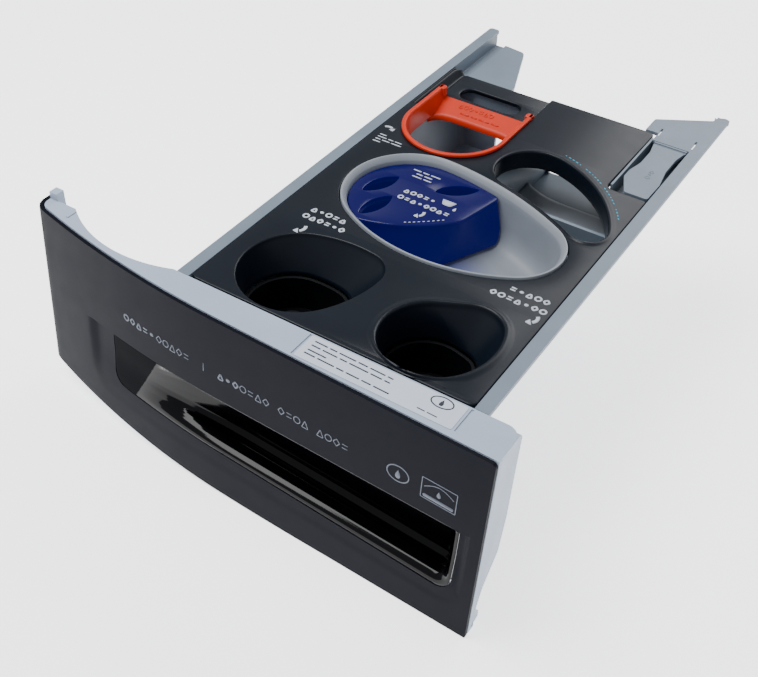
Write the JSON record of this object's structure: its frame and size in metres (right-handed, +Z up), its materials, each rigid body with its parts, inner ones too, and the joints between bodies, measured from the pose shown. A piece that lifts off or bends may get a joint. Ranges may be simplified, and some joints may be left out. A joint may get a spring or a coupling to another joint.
{
  "type": "washer detergent dispenser drawer",
  "caption": "Pull-out laundry detergent drawer with bowed fascia, recessed handle, oval wash compartment with lift-out insert, siphon cups, pod opening and release tab.",
  "frame": {"origin": "bottom centre of the whole drawer's box", "axes": "+Z up, -Y out of the machine towards the user (the fascia side), +X to the user's right"},
  "size_m": [0.2778, 0.3382, 0.1115],
  "materials": {
    "tray_grey": "moulded satin",
    "tab_grey": "moulded satin",
    "cover_slate": "fine grain",
    "ring_orange": "satin",
    "insert_blue": "translucent",
    "siphon_slate": "satin",
    "fascia_charcoal": "painted matte",
    "carrier_white": "moulded satin",
    "handle_black": "high gloss",
    "screw_steel": "zinc plated",
    "label_grey": "printed film"
  },
  "bodies": {
    "drawer": {"tray_tub": "tray_grey", "wash_compartment": "tray_grey", "left_runner": "tray_grey", "right_runner": "tray_grey", "fascia_panel": "fascia_charcoal", "fascia_carrier": "carrier_white", "handle_cup": "handle_black", "fascia_screws": "screw_steel", "top_label": "label_grey"},
    "release_tab": {"release_tab": "tab_grey"},
    "cover": {"dispenser_cover": "cover_slate"},
    "ring": {"pod_ring": "ring_orange"},
    "insert": {"liquid_insert": "insert_blue"},
    "bleach_cup": {"bleach_siphon": "siphon_slate"},
    "softener_cup": {"softener_siphon": "siphon_slate"}
  },
  "joints": [
    {"name": "tab_press", "type": "hinge", "parent": "drawer", "child": "release_tab", "pos_m": [0.0387, 0.10215, 0.1065], "axis": [1, 0, 0], "range_deg": [0, 5], "stiffness_Nm_per_rad": 2},
    {"name": "cover_lift", "type": "slide", "parent": "drawer", "child": "cover", "axis": [0, 0, 1], "range_m": [0, 0.06]},
    {"name": "ring_lift", "type": "slide", "parent": "cover", "child": "ring", "axis": [0, 0, 1], "range_m": [0, 0.04]},
    {"name": "insert_lift", "type": "slide", "parent": "drawer", "child": "insert", "axis": [0, 0, 1], "range_m": [0, 0.05]},
    {"name": "bleach_cup_lift", "type": "slide", "parent": "drawer", "child": "bleach_cup", "axis": [0, 0, 1], "range_m": [0, 0.05]},
    {"name": "softener_cup_lift", "type": "slide", "parent": "drawer", "child": "softener_cup", "axis": [0, 0, 1], "range_m": [0, 0.05]}
  ]
}
